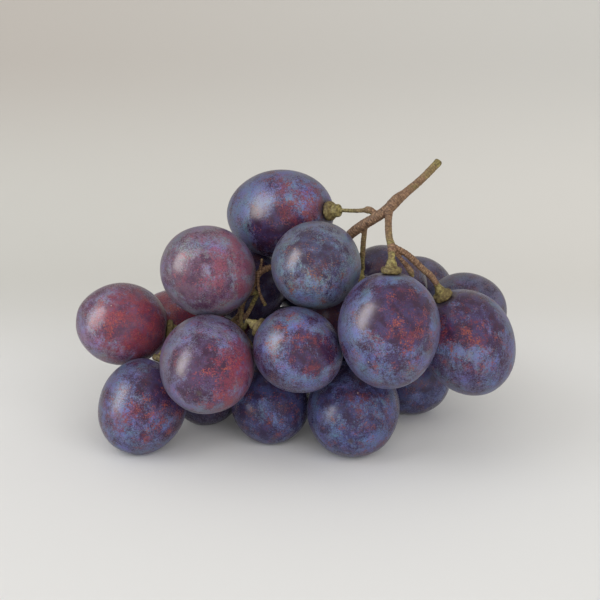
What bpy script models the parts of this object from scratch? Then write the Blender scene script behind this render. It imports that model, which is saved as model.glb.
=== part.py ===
"""A bunch of dark table grapes lying on its side.

Every berry is a solid of its own. The woody stem with its side branches,
pedicels and receptacles grew as one piece, so it is one solid. The origin is
on the surface that the bunch lies on, under the middle of the bunch: +X is to
the right, +Y goes back, +Z is up. Tables are in millimetres and degrees.
"""
import math

import bmesh
import bpy
from mathutils import Matrix, Vector

MM = 0.001

# ---------------------------------------------------------------- dimensions
BERRY_SIDES = 18            # facets round a berry
BERRY_RINGS = 12            # facets from a berry's stem end to its tip
BERRY_TAPER = 0.03          # how much fuller a berry is at its stem end
BERRY_GAP = 0.32            # clearance between neighbouring berries
SURFACE_PRESS = 0.35        # how far a resting berry settles flat
SETTLE_STEPS = 60           # passes that push crowded berries apart
SETTLED_WITHIN = 0.01       # a berry this close to its clearance has settled
OUTLINE_STEPS = 24          # points along the half outline that a reach is read from

STEM_SIDES = 8              # facets round a stem
STEM_STEP = 2.0             # spacing of the rings along a stem
STEM_GAP = 0.35             # clearance between a receptacle and its berry
PEDICEL_RADIUS = 0.6        # the thin stalk of one berry
RECEPTACLE_RADIUS = 2.3     # the flared disc that holds a berry
RECEPTACLE_LENGTH = 2.2     # length over which a stalk flares out
STRAIGHT_LEAD = 1.6         # straight stretch of a stalk before it flares
STALK_FOOT = 0.1            # how much thicker a stalk is where it grows from
STALK_NECK = 0.15           # and where its receptacle begins

# The flare of a receptacle: how far from the berry, as a part of its length,
# and how wide, as a part of its full radius.
FLARE = [(0.45, 0.55), (0.12, 0.98), (0.0, 0.94)]

# Berries: centre x, y, z, width, length, and the compass direction and rise
# of the stem end. Those with centres near 12 mm rest on the surface.
BERRIES = {
    "berry_far_left": (-46.0, -4.0, 29.7, 21.8, 24.6, 4, -8),
    "berry_upper_left": (-22.5, -10.5, 46.8, 23.4, 25.2, 30, -30),
    "berry_top": (-3.9, 5.0, 57.8, 23.4, 30.0, -30, 10),
    "berry_front_upper": (5.5, -17.5, 50.5, 22.5, 25.0, 75, -10),
    "berry_front_left": (-22.0, -27.0, 27.0, 24.0, 27.5, 85, 10),
    "berry_front_middle": (1.0, -28.5, 31.5, 21.0, 23.0, 150, 20),
    "berry_front_right": (23.5, -33.5, 38.5, 25.0, 29.0, 80, 80),
    "berry_right": (44.8, -18.5, 29.9, 24.0, 29.0, 190, 62),
    "berry_bottom_left": (-39.9, -17.8, 11.9, 22.6, 25.6, 45, 58),
    "berry_bottom_front": (15.5, -19.0, 11.7, 24.0, 27.0, 85, 15),
    "berry_bottom_middle": (-7.0, -10.2, 10.6, 21.0, 23.0, 95, 35),
    "berry_bottom_inner": (-23.5, 1.5, 9.8, 20.0, 21.5, 20, 60),
    "berry_bottom_right": (32.4, 9.6, 11.2, 22.5, 24.0, 130, 45),
    "berry_inner_left": (-33.6, 14.6, 22.4, 20.5, 22.5, -30, 10),
    "berry_back_upper": (25.6, 12.5, 35.8, 21.0, 23.0, 180, 20),
    "berry_back_right": (35.5, 30.0, 28.0, 20.5, 22.0, 180, 25),
    "berry_back_far_right": (46.4, 6.5, 30.3, 21.0, 23.0, 150, -15),
    "berry_core_low": (-3.0, 14.5, 17.0, 22.5, 24.5, 0, 60),
    "berry_back_left": (-21.5, 32.5, 17.5, 22.0, 23.5, -50, 50),
    "berry_core_upper": (-12.5, 10.2, 36.8, 20.5, 22.0, -10, 35),
    "berry_core_right": (13.2, -4.5, 31.0, 20.5, 23.0, -5, 72),
    "berry_back_middle": (2.2, 27.2, 34.2, 23.0, 25.0, -85, 30),
    "berry_bottom_back": (9.5, 34.0, 12.2, 23.5, 26.0, -60, 45),
}

# The main axis from the cut end of the peduncle down into the bunch:
# x, y, z and radius. It thickens at each node where a branch leaves it.
MAIN_AXIS = [
    (37.3, -6.5, 75.2, 1.15), (36.0, -7.0, 73.8, 1.00), (32.5, -8.5, 70.6, 0.95),
    (28.5, -10.0, 67.5, 1.05), (26.5, -10.5, 66.0, 1.35), (24.0, -11.0, 63.5, 1.30),
    (21.0, -10.5, 61.2, 1.20), (17.0, -9.0, 58.2, 1.25), (13.5, -6.0, 54.3, 1.10),
    (10.5, 0.0, 49.0, 1.05), (5.0, 1.0, 46.0, 0.90), (-1.0, -1.5, 45.5, 0.90),
    (-5.5, -4.0, 46.0, 0.85), (-9.0, -5.5, 45.0, 0.90), (-11.0, -4.8, 41.0, 0.85),
    (-13.5, -3.5, 36.5, 0.80), (-14.5, -2.5, 31.5, 0.80), (-14.5, -1.0, 26.5, 0.70),
]

# Side branches and spent twigs, each starting on the stem it grows from.
BRANCHES = {
    "shoulder": [(24.5, -11.0, 63.5, 1.00), (24.0, -15.0, 61.0, 0.90),
                 (24.0, -20.0, 58.5, 0.90), (24.5, -23.0, 57.0, 1.05)],
    "lower_right": [(8.0, 0.7, 47.5, 0.90), (8.5, 7.0, 42.0, 0.80),
                    (8.5, 10.0, 35.0, 0.75), (11.5, 9.5, 26.0, 0.75),
                    (17.0, 10.0, 22.5, 0.70), (24.5, 11.5, 22.5, 0.65)],
    "lower_left": [(-14.5, -2.5, 31.0, 0.75), (-19.0, -2.0, 28.0, 0.70),
                   (-25.0, -1.0, 26.5, 0.65)],
    "spent_twig_front": [(24.5, -22.5, 57.0, 0.75), (26.5, -22.0, 54.0, 0.55),
                         (28.5, -21.5, 51.5, 0.70), (29.5, -21.5, 50.0, 0.80),
                         (30.0, -21.3, 48.6, 0.45)],
    "spent_twig_inner": [(-9.5, -6.0, 45.5, 0.70), (-9.5, -6.5, 42.5, 0.55),
                         (-9.0, -7.0, 39.5, 0.50), (-7.5, -8.0, 36.5, 0.65)],
    "spent_twig_upper": [(-9.0, -5.5, 45.5, 0.60), (-8.6, -6.5, 47.5, 0.40),
                         (-8.4, -7.2, 49.0, 0.45)],
}

# Pedicels: the points that each berry's stalk passes before it reaches the
# berry, the first of them on the stem it grows from.
PEDICELS = {
    "berry_top": [(21.5, -10.5, 62.0), (19.5, -9.5, 62.9), (16.5, -7.5, 62.2)],
    "berry_front_upper": [(12.3, -3.5, 52.5), (10.5, -3.0, 50.0)],
    "berry_core_right": [(18.3, -9.5, 59.0), (18.0, -8.5, 53.5), (17.8, -7.0, 48.5)],
    "berry_front_right": [(24.5, -23.0, 57.0), (24.3, -25.5, 55.5)],
    "berry_right": [(24.3, -22.5, 57.0), (28.5, -21.5, 54.5), (32.5, -20.5, 50.5),
                    (34.6, -20.3, 48.6)],
    "berry_back_upper": [(10.0, 0.5, 49.0), (11.0, 6.0, 45.0)],
    "berry_back_right": [(8.5, 4.0, 45.0), (10.0, 12.0, 43.0), (16.0, 20.0, 39.0)],
    "berry_back_middle": [(6.5, 1.0, 46.5), (6.5, 7.0, 45.5)],
    "berry_core_upper": [(4.0, 0.5, 46.0), (3.0, 3.0, 45.8)],
    "berry_core_low": [(8.5, 9.5, 36.5), (6.5, 12.0, 32.5)],
    "berry_bottom_back": [(11.0, 9.5, 27.0), (13.5, 16.0, 25.5)],
    "berry_bottom_front": [(11.5, 9.5, 26.0), (14.5, 4.0, 19.5)],
    "berry_bottom_right": [(17.0, 10.0, 22.5), (22.0, 14.5, 23.0)],
    "berry_back_far_right": [(23.0, 11.3, 22.5), (31.0, 13.5, 25.0)],
    "berry_upper_left": [(-14.2, -2.8, 32.8), (-13.0, -4.6, 32.2)],
    "berry_front_middle": [(-13.3, -4.0, 37.5), (-14.0, -10.0, 34.0),
                           (-13.0, -17.5, 33.5)],
    "berry_front_left": [(-14.3, -2.7, 32.5), (-18.0, -7.0, 30.5)],
    "berry_far_left": [(-23.0, -1.4, 27.0), (-26.5, -2.2, 27.0)],
    "berry_bottom_left": [(-23.0, -1.4, 27.0), (-28.5, -5.5, 28.5)],
    "berry_bottom_middle": [(-14.5, -1.3, 27.5), (-11.0, 1.0, 21.5)],
    "berry_bottom_inner": [(-14.5, -1.0, 27.0), (-15.8, 2.0, 23.5)],
    "berry_inner_left": [(-14.5, -2.0, 29.5), (-18.5, 4.0, 27.5)],
    "berry_back_left": [(-14.5, -1.5, 28.0), (-15.5, 9.0, 24.6), (-15.8, 20.0, 28.0)],
}

BERRY_COLOUR = (0.060, 0.045, 0.130)
STEM_COLOUR = (0.190, 0.120, 0.055)


# ------------------------------------------------------------------- berries
def heading(compass, rise):
    """The unit vector for a compass direction and a rise, in degrees."""
    turn = math.radians(compass)
    lift = math.radians(rise)
    return Vector((math.cos(lift) * math.cos(turn), math.cos(lift) * math.sin(turn), math.sin(lift)))


def berry_reach(berry, direction):
    """How far the berry's skin reaches from its centre along a direction."""
    along = direction.dot(berry["axis"])
    across = math.sqrt(max(0.0, 1.0 - along * along))
    reach = 0.0
    for step in range(OUTLINE_STEPS + 1):
        turn = math.pi * step / OUTLINE_STEPS
        height = math.cos(turn)
        radius = berry["radius"] * math.sin(turn) * (1.0 + BERRY_TAPER * height)
        reach = max(reach, along * berry["half"] * height + across * radius)
    return reach


def clearance(one, other):
    """The free space between two berries along the line of their centres."""
    line = other["centre"] - one["centre"]
    direction = line.normalized()
    return line.length - berry_reach(one, direction) - berry_reach(other, -direction)


def settle(berries):
    """Push crowded berries apart until they keep their clearance."""
    names = sorted(berries)
    for _ in range(SETTLE_STEPS):
        crowded = False
        for index, name in enumerate(names):
            for other_name in names[index + 1:]:
                one = berries[name]
                other = berries[other_name]
                line = other["centre"] - one["centre"]
                short = BERRY_GAP - clearance(one, other)
                if short > SETTLED_WITHIN:
                    crowded = True
                    push = line.normalized() * (short * 0.5)
                    one["centre"] -= push
                    other["centre"] += push
        for berry in berries.values():
            if berry["rests"]:
                bottom = berry["centre"].z - berry_reach(berry, Vector((0, 0, -1)))
                berry["centre"].z -= bottom + SURFACE_PRESS
        if not crowded:
            break


def plan_berries():
    """Read the table of berries and settle them against each other."""
    berries = {}
    for name, (x, y, z, width, length, compass, rise) in BERRIES.items():
        berries[name] = {
            "centre": Vector((x, y, z)),
            "radius": width / 2,
            "half": length / 2,
            "axis": heading(compass, rise),
            "rests": name.startswith("berry_bottom"),
        }
    settle(berries)
    return berries


def make_berry(name, berry, material):
    """A turned, slightly tapered solid, cut flat where it rests."""
    shape = bmesh.new()
    rings = []
    for row in range(1, BERRY_RINGS):
        turn = math.pi * row / BERRY_RINGS
        height = math.cos(turn)
        radius = berry["radius"] * math.sin(turn) * (1.0 + BERRY_TAPER * height)
        ring = []
        for side in range(BERRY_SIDES):
            spin = 2 * math.pi * side / BERRY_SIDES
            point = (radius * math.cos(spin), radius * math.sin(spin), berry["half"] * height)
            ring.append(shape.verts.new(point))
        rings.append(ring)
    stem_end = shape.verts.new((0, 0, berry["half"]))
    tip = shape.verts.new((0, 0, -berry["half"]))
    for side in range(BERRY_SIDES):
        after = (side + 1) % BERRY_SIDES
        shape.faces.new((stem_end, rings[0][side], rings[0][after]))
        shape.faces.new((tip, rings[-1][after], rings[-1][side]))
        for upper, lower in zip(rings, rings[1:]):
            shape.faces.new((upper[side], lower[side], lower[after], upper[after]))
    turn_to_axis = berry["axis"].to_track_quat("Z", "Y").to_matrix().to_4x4()
    place = Matrix.Translation(berry["centre"]) @ turn_to_axis
    bmesh.ops.transform(shape, matrix=Matrix.Scale(MM, 4) @ place, verts=shape.verts)
    if berry["rests"]:
        cut_flat(shape)
    return finish_object(name, shape, material)


def cut_flat(shape):
    """Take off what is below the surface and close the cut."""
    parts = shape.verts[:] + shape.edges[:] + shape.faces[:]
    cut = bmesh.ops.bisect_plane(
        shape, geom=parts, dist=1e-7, plane_co=(0, 0, 0), plane_no=(0, 0, -1), clear_outer=True)
    edges = [item for item in cut["geom_cut"] if isinstance(item, bmesh.types.BMEdge)]
    bmesh.ops.edgeloop_fill(shape, edges=edges)


# ---------------------------------------------------------------------- stem
def smooth_route(points):
    """Points about every STEM_STEP on a smooth curve through the given ones.

    Each point is a list of numbers: its place and its radius.
    """
    route = []
    for index in range(len(points) - 1):
        before = points[max(index - 1, 0)]
        start = points[index]
        end = points[index + 1]
        after = points[min(index + 2, len(points) - 1)]
        span = math.dist(start[:3], end[:3])
        count = max(1, round(span / STEM_STEP))
        for part in range(count):
            t = part / count
            route.append([
                0.5 * (2 * b + (c - a) * t + (2 * a - 5 * b + 4 * c - d) * t * t
                       + (3 * b - a - 3 * c + d) * t ** 3)
                for a, b, c, d in zip(before, start, end, after)])
    route.append(list(points[-1]))
    return route


def make_tube(name, route):
    """Sweep a round section along a route, with flat ends."""
    shape = bmesh.new()
    places = [Vector(point[:3]) for point in route]
    rings = []
    side_way = None
    for index, point in enumerate(route):
        ahead = places[min(index + 1, len(places) - 1)]
        behind = places[max(index - 1, 0)]
        forward = (ahead - behind).normalized()
        if side_way is None:
            side_way = forward.orthogonal().normalized()
        side_way = (side_way - forward * side_way.dot(forward)).normalized()
        up_way = forward.cross(side_way)
        ring = []
        for side in range(STEM_SIDES):
            spin = 2 * math.pi * side / STEM_SIDES
            offset = side_way * math.cos(spin) + up_way * math.sin(spin)
            ring.append(shape.verts.new((places[index] + offset * point[3]) * MM))
        rings.append(ring)
    for ring, following in zip(rings, rings[1:]):
        for side in range(STEM_SIDES):
            after = (side + 1) % STEM_SIDES
            shape.faces.new((ring[side], ring[after], following[after], following[side]))
    shape.faces.new(list(reversed(rings[0])))
    shape.faces.new(rings[-1])
    return finish_object(name, shape, None)


def pedicel_route(points, berry):
    """A thin stalk that straightens and flares before it meets its berry."""
    end = berry["centre"] + berry["axis"] * (berry["half"] + STEM_GAP)
    neck = end + berry["axis"] * RECEPTACLE_LENGTH
    lead = neck + berry["axis"] * STRAIGHT_LEAD
    stalk = [(*points[0], PEDICEL_RADIUS + STALK_FOOT)]
    stalk += [(*point, PEDICEL_RADIUS) for point in points[1:]]
    stalk.append((*lead, PEDICEL_RADIUS))
    route = smooth_route(stalk)
    route.append([*neck, PEDICEL_RADIUS + STALK_NECK])
    for part, radius in FLARE:
        place = end + berry["axis"] * (RECEPTACLE_LENGTH * part)
        route.append([*place, RECEPTACLE_RADIUS * radius])
    return route


def make_stem(berries, material):
    """Join the axis, the branches and the pedicels into one solid."""
    stem = make_tube("stem", smooth_route(MAIN_AXIS))
    tubes = [make_tube(name, smooth_route(route)) for name, route in BRANCHES.items()]
    for name, points in PEDICELS.items():
        tubes.append(make_tube("stalk_of_" + name, pedicel_route(points, berries[name])))
    for tube in tubes:
        union = stem.modifiers.new("union", "BOOLEAN")
        union.operation = "UNION"
        union.solver = "EXACT"
        union.object = tube
        bpy.context.view_layer.update()
        joined = bpy.data.meshes.new_from_object(
            stem.evaluated_get(bpy.context.evaluated_depsgraph_get()))
        stem.modifiers.clear()
        stem.data = joined
        bpy.data.objects.remove(tube)
    stem.data.name = "stem"
    stem.data.materials.clear()
    stem.data.materials.append(material)
    stem.data.shade_smooth()
    return stem


# ------------------------------------------------------------------ assembly
def make_material(name, colour, roughness):
    material = bpy.data.materials.new(name)
    material.use_nodes = True
    shader = material.node_tree.nodes["Principled BSDF"]
    shader.inputs["Base Color"].default_value = (*colour, 1.0)
    shader.inputs["Roughness"].default_value = roughness
    shader.inputs["Metallic"].default_value = 0.0
    return material


def finish_object(name, shape, material):
    mesh = bpy.data.meshes.new(name)
    bmesh.ops.recalc_face_normals(shape, faces=shape.faces)
    shape.to_mesh(mesh)
    shape.free()
    if material:
        mesh.materials.append(material)
    mesh.shade_smooth()
    item = bpy.data.objects.new(name, mesh)
    bpy.context.scene.collection.objects.link(item)
    return item


def main():
    for item in list(bpy.data.objects):
        bpy.data.objects.remove(item)
    berries = plan_berries()
    for name, berry in berries.items():
        make_berry(name, berry, make_material(name + "_skin", BERRY_COLOUR, 0.45))
    make_stem(berries, make_material("stem_bark", STEM_COLOUR, 0.75))


main()
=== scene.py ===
# %% [markdown]
# # A bunch of dark table grapes
# This lesson dresses a bunch of grapes for a studio picture. The bunch has two kinds of piece: berries,
# which are taut bags of juice in a waxed skin, and one branched stem, woody where it was cut and green
# where it meets the berries. The shapes and places come from a fixed frame, so nothing here moves or
# resizes the bunch. What is made here is everything that the eye looks for: the bloom on the skin, the rust
# flecks, the ridged bark.

# %% Load the frame
import math

import bmesh
import bpy
import numpy as np
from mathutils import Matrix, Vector, kdtree, noise


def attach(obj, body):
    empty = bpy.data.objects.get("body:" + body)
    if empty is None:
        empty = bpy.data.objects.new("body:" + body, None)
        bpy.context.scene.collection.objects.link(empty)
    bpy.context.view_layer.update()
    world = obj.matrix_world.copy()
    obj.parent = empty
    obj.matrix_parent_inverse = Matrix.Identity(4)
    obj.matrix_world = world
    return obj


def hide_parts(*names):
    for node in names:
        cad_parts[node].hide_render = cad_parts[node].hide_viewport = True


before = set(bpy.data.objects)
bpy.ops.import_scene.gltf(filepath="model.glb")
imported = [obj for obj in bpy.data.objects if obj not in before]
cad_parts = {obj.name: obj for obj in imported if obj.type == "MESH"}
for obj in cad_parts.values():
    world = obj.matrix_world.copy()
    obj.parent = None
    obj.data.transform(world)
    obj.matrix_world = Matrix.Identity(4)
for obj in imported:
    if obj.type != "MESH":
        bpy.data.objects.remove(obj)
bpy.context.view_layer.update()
MM = 0.001
berry_names = sorted(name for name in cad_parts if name.startswith("berry_"))

# %% [markdown]
# ## The camera
# A still life looks natural through a long lens at about the distance of somebody leaning over a table.
# From 390 mm away and 18 degrees up, the lens sees the front berries and a little of the berries behind
# them, and the surface under the bunch runs up behind it. The camera aims at a point a little in front of
# the bunch's middle. A helper turns "right, up and toward the camera" into a direction in space, for the
# finishes and the lights further on.

# %% Place the camera
CAMERA_RISE = math.radians(18.0)
CAMERA_DISTANCE = 390.0 * MM
CAMERA_AIM = Vector((1.56, -12.55, 39.59)) * MM
camera_back = Vector((0.0, -math.cos(CAMERA_RISE), math.sin(CAMERA_RISE)))
camera = bpy.data.objects.new("camera", bpy.data.cameras.new("camera"))
camera.data.lens = 90.0
camera.data.sensor_width = 36.0
camera.data.clip_start = 0.01
camera.location = CAMERA_AIM + camera_back * CAMERA_DISTANCE
camera.rotation_mode = "QUATERNION"
camera.rotation_quaternion = (-camera_back).to_track_quat("-Z", "Y")
bpy.context.scene.collection.objects.link(camera)
bpy.context.scene.camera = camera


def seen_direction(right, up, toward):
    """The direction that the camera sees as this far to the right, up and toward itself."""
    y = up * math.sin(CAMERA_RISE) - toward * math.cos(CAMERA_RISE)
    z = up * math.cos(CAMERA_RISE) + toward * math.sin(CAMERA_RISE)
    return Vector((right, y, z)).normalized()


print("camera at", [round(v / MM) for v in camera.location], "mm")

# %% [markdown]
# ## Reading a berry from the frame
# Each berry in the frame is a coarse turned solid. Its two ends are easy to find, because many facets meet
# at a pole and only a few meet anywhere else. The pole next to the stem is the stem end. From the two poles
# come the berry's centre, its axis and its length, and the widest ring gives its radius.

# %% Find each berry's centre, axis, length and radius
def welded_points(mesh):
    """The mesh's points with doubles merged, and for each how many others it is joined to."""
    keys = {}
    index_of = []
    for vertex in mesh.vertices:
        key = tuple(round(value / MM, 3) for value in vertex.co)
        index_of.append(keys.setdefault(key, len(keys)))
    joined = [set() for _ in keys]
    for edge in mesh.edges:
        one, other = (index_of[v] for v in edge.vertices)
        if one != other:
            joined[one].add(other)
            joined[other].add(one)
    return [Vector(key) * MM for key in keys], [len(group) for group in joined]


def read_berry(name, stem_points):
    """A berry's centre, axis (toward the stem), half length and radius."""
    points, counts = welded_points(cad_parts[name].data)
    ranked = sorted(range(len(points)), key=lambda i: -counts[i])
    poles = [points[i] for i in ranked[:2]]
    poles.sort(key=lambda pole: stem_points.find(pole)[2])
    stem_end, tip = poles
    axis = (stem_end - tip).normalized()
    centre = (stem_end + tip) / 2
    radius = max((p - centre - axis * (p - centre).dot(axis)).length for p in points)
    return {"centre": centre, "axis": axis, "half": (stem_end - tip).length / 2, "radius": radius}


stem_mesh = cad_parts["stem"].data
stem_points = kdtree.KDTree(len(stem_mesh.vertices))
for vertex in stem_mesh.vertices:
    stem_points.insert(vertex.co, vertex.index)
stem_points.balance()
berries = {name: read_berry(name, stem_points) for name in berry_names}
widths = [2 * berry["radius"] / MM for berry in berries.values()]
print("berries are", round(min(widths), 1), "to", round(max(widths), 1), "mm wide")

# %% [markdown]
# ## The shape of a berry
# A grape is nearly a ball drawn out along its axis, and a little fuller at the stem end. What makes it look
# grown and not turned is small: broad shallow swellings, a dimple where the receptacle sits, and at the far
# tip the scar of the flower, a tiny raised ring. A grid of rings makes all of this with one formula per
# point. A sculpted mesh would also work, but a formula keeps every berry clean and lets each one have its
# own lumps. Where a berry rests on the table it is pressed flat.

# %% Make a berry's mesh
BERRY_RINGS = 72
BERRY_SIDES = 96
BERRY_TAPER = 0.03
SWELLING = 0.22 * MM
SWELLING_SIZE = 9.0 * MM
CONTACT_SWELL = 0.12 * MM
DIMPLE_DEPTH = 0.55 * MM
DIMPLE_RADIUS = 2.9 * MM
SCAR_RADIUS = 0.55 * MM
SCAR_HEIGHT = 0.05 * MM


def berry_point(berry, turn, spin, shift):
    """A point on the skin: turn runs from the stem end (0) to the tip (pi), spin runs round."""
    height = math.cos(turn)
    wide = berry["radius"] * math.sin(turn) * (1.0 + BERRY_TAPER * height)
    local = Vector((wide * math.cos(spin), wide * math.sin(spin), berry["half"] * height))
    outward = Vector((local.x / berry["radius"] ** 2, local.y / berry["radius"] ** 2,
                      local.z / berry["half"] ** 2)).normalized()
    swell = noise.noise(local / SWELLING_SIZE + shift) * SWELLING + CONTACT_SWELL
    if height > 0:
        swell -= DIMPLE_DEPTH * math.exp(-(wide / DIMPLE_RADIUS) ** 4)
    else:
        rim = (wide - SCAR_RADIUS) / (SCAR_RADIUS * 0.45)
        swell += SCAR_HEIGHT * (math.exp(-rim * rim) - 0.9 * math.exp(-(wide / SCAR_RADIUS) ** 2 * 3))
        swell -= DIMPLE_DEPTH * 0.35 * math.exp(-(wide / (SCAR_RADIUS * 3.5)) ** 2)
    return local + outward * swell


def ring_turns():
    """Ring angles, closer together near both ends where the detail is."""
    steps = np.linspace(0.0, 1.0, BERRY_RINGS + 1)[1:-1]
    return math.pi * (steps - 0.11 * np.sin(2 * math.pi * steps))


def make_berry(name, berry, shift):
    """One berry's mesh and object; shift gives it lumps of its own."""
    turn_axis = berry["axis"].to_track_quat("Z", "Y").to_matrix()
    shape = bmesh.new()
    rings = []
    for turn in ring_turns():
        rings.append([shape.verts.new(turn_axis @ berry_point(
            berry, turn, 2 * math.pi * side / BERRY_SIDES, shift)) for side in range(BERRY_SIDES)])
    stem_end = shape.verts.new(turn_axis @ berry_point(berry, 0.0, 0.0, shift))
    tip = shape.verts.new(turn_axis @ berry_point(berry, math.pi, 0.0, shift))
    for side in range(BERRY_SIDES):
        after = (side + 1) % BERRY_SIDES
        shape.faces.new((stem_end, rings[0][side], rings[0][after]))
        shape.faces.new((tip, rings[-1][after], rings[-1][side]))
        for upper, lower in zip(rings, rings[1:]):
            shape.faces.new((upper[side], lower[side], lower[after], upper[after]))
    table = -berry["centre"].z
    for vertex in shape.verts:
        vertex.co.z = max(vertex.co.z, table)
    mesh = bpy.data.meshes.new(name)
    shape.to_mesh(mesh)
    shape.free()
    mesh.shade_smooth()
    piece = bpy.data.objects.new(name, mesh)
    piece.location = berry["centre"]
    bpy.context.scene.collection.objects.link(piece)
    return piece


berry_pieces = {}
for number, name in enumerate(berry_names):
    shift = Vector((number * 7.3, number * 3.1, number * 11.7))
    piece = make_berry(name.replace("berry", "grape"), berries[name], shift)
    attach(piece, "root")
    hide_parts(name)
    berry_pieces[name] = piece
print("each berry has", len(piece.data.polygons), "faces")

# %% [markdown]
# ## A short hand for shader nodes
# The finishes below are built from many small nodes. These helpers add one node each and hand back its
# output, so that a chain of nodes reads like a sum. Every group gets its inputs and outputs from
# interface.new_socket, which is how Blender 4.5 names the sockets of a group.

# %% Helpers that add nodes
def new_group(name, inputs, outputs):
    """An empty node group. Inputs are (name, kind, value); outputs are (name, kind)."""
    tree = bpy.data.node_groups.new(name, "ShaderNodeTree")
    for title, kind, value in inputs:
        socket = tree.interface.new_socket(title, in_out="INPUT", socket_type="NodeSocket" + kind)
        if value is not None:
            socket.default_value = value
    for title, kind in outputs:
        tree.interface.new_socket(title, in_out="OUTPUT", socket_type="NodeSocket" + kind)
    return tree, tree.nodes.new("NodeGroupInput").outputs, tree.nodes.new("NodeGroupOutput").inputs


def plug(tree, socket, value):
    """Link a socket to another node's output, or set it to a plain value."""
    if isinstance(value, bpy.types.NodeSocket):
        tree.links.new(value, socket)
    else:
        socket.default_value = value


def sums(tree, operation, *values):
    node = tree.nodes.new("ShaderNodeMath")
    node.operation = operation
    for socket, value in zip(node.inputs, values):
        plug(tree, socket, value)
    return node.outputs["Value"]


def plus(tree, one, other):
    return sums(tree, "ADD", one, other)


def minus(tree, one, other):
    return sums(tree, "SUBTRACT", one, other)


def times(tree, one, other):
    return sums(tree, "MULTIPLY", one, other)


def vectors(tree, operation, *values, out="Vector"):
    node = tree.nodes.new("ShaderNodeVectorMath")
    node.operation = operation
    for socket, value in zip(node.inputs, values):
        plug(tree, socket, value)
    return node.outputs[out]


def scaled(tree, vector, factor):
    node = tree.nodes.new("ShaderNodeVectorMath")
    node.operation = "SCALE"
    plug(tree, node.inputs[0], vector)
    plug(tree, node.inputs["Scale"], factor)
    return node.outputs["Vector"]


def cloud(tree, where, scale, detail=2.0, rough=0.5, out="Fac"):
    """Soft random clouds, about one for each 1/scale of the coordinates."""
    node = tree.nodes.new("ShaderNodeTexNoise")
    plug(tree, node.inputs["Vector"], where)
    plug(tree, node.inputs["Scale"], scale)
    node.inputs["Detail"].default_value = detail
    node.inputs["Roughness"].default_value = rough
    return node.outputs[out]


def ease(tree, value, low, high, start=0.0, end=1.0):
    """Ease from start to end while the value goes from low to high."""
    node = tree.nodes.new("ShaderNodeMapRange")
    node.interpolation_type = "SMOOTHSTEP"
    plug(tree, node.inputs["Value"], value)
    for title, number in zip(("From Min", "From Max", "To Min", "To Max"), (low, high, start, end)):
        plug(tree, node.inputs[title], number)
    return node.outputs["Result"]


def blend(tree, factor, one, other, mode="MIX"):
    """Mix two colours."""
    node = tree.nodes.new("ShaderNodeMix")
    node.data_type = "RGBA"
    node.blend_type = mode
    plug(tree, node.inputs[0], factor)
    plug(tree, node.inputs[6], one)
    plug(tree, node.inputs[7], other)
    return node.outputs[2]


def use_group(tree, group, **values):
    """Place a group and fill its inputs; underscores in the keywords stand for spaces."""
    node = tree.nodes.new("ShaderNodeGroup")
    node.node_tree = group
    for title, value in values.items():
        plug(tree, node.inputs[title.replace("_", " ")], value)
    return node.outputs


print("node helpers ready")

# %% [markdown]
# ## A patch on one side
# The sun side, the shaded side and the side that rubbed its neighbour all look different, so every finish
# needs a mask that is strong on one side of a berry and fades out round it. Comparing a point's direction
# from the berry's centre with a chosen direction gives that. A painted mask would need an unwrapped skin
# and a brush for each berry. A cloud texture wobbles the distance, so the edge is never a circle.

# %% Group: side patch
patch_group, source, target = new_group(
    "Side patch",
    [("Place", "Vector", None), ("Direction", "Vector", None), ("Width", "Float", 0.5)],
    [("Mask", "Float")])
facing = vectors(patch_group, "DOT_PRODUCT", vectors(patch_group, "NORMALIZE", source["Place"]),
                 source["Direction"], out="Value")
wobble = minus(patch_group, cloud(patch_group, source["Place"], 0.20, detail=3.0), 0.5)
away = minus(patch_group, 1.0, facing)
away = minus(patch_group, away, times(patch_group, wobble, 0.6))
inner = times(patch_group, source["Width"], 0.2)
plug(patch_group, target["Mask"], ease(patch_group, away, inner, source["Width"], 1.0, 0.0))
print(patch_group.name, len(patch_group.nodes), "nodes")

# %% [markdown]
# ## Stipple
# Nearly everything on a grape's skin is stippled: rust, worn bloom and dark pores gather in loose swarms,
# crowded in the middle and scattered at the edge. One texture cannot do this, but the sum of a broad one
# and a fine one can. Where the broad cloud is high, most fine grains pass the limit, and where it is low
# only the strongest do.

# %% Group: stipple
stipple_group, source, target = new_group(
    "Stipple",
    [("Place", "Vector", None), ("Patch scale", "Float", 0.3), ("Grain scale", "Float", 2.0),
     ("Share", "Float", 0.5), ("Patch weight", "Float", 2.4), ("Grain weight", "Float", 2.0),
     ("Softness", "Float", 0.1)],
    [("Mask", "Float")])
broad = cloud(stipple_group, source["Place"], source["Patch scale"], detail=3.0)
broad = minus(stipple_group, broad, 0.5)
fine = cloud(stipple_group, source["Place"], source["Grain scale"], detail=2.0, rough=0.6)
fine = minus(stipple_group, fine, 0.5)
level = plus(stipple_group, times(stipple_group, broad, source["Patch weight"]),
             times(stipple_group, fine, source["Grain weight"]))
level = plus(stipple_group, level, minus(stipple_group, source["Share"], 0.5))
faint = times(stipple_group, source["Softness"], -1.0)
plug(stipple_group, target["Mask"], ease(stipple_group, level, faint, source["Softness"]))
print(stipple_group.name, len(stipple_group.nodes), "nodes")

# %% [markdown]
# ## The bloom
# Bloom is a wax that the skin sweats out: pale, bluish and very thin. It lies in clouds a few millimetres
# across, and leaves and fingers brush it into streaks. A warped cloud texture makes the clouds, the same
# texture squeezed one way makes the streaks, and a fine grain keeps either from looking like paint.

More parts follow.
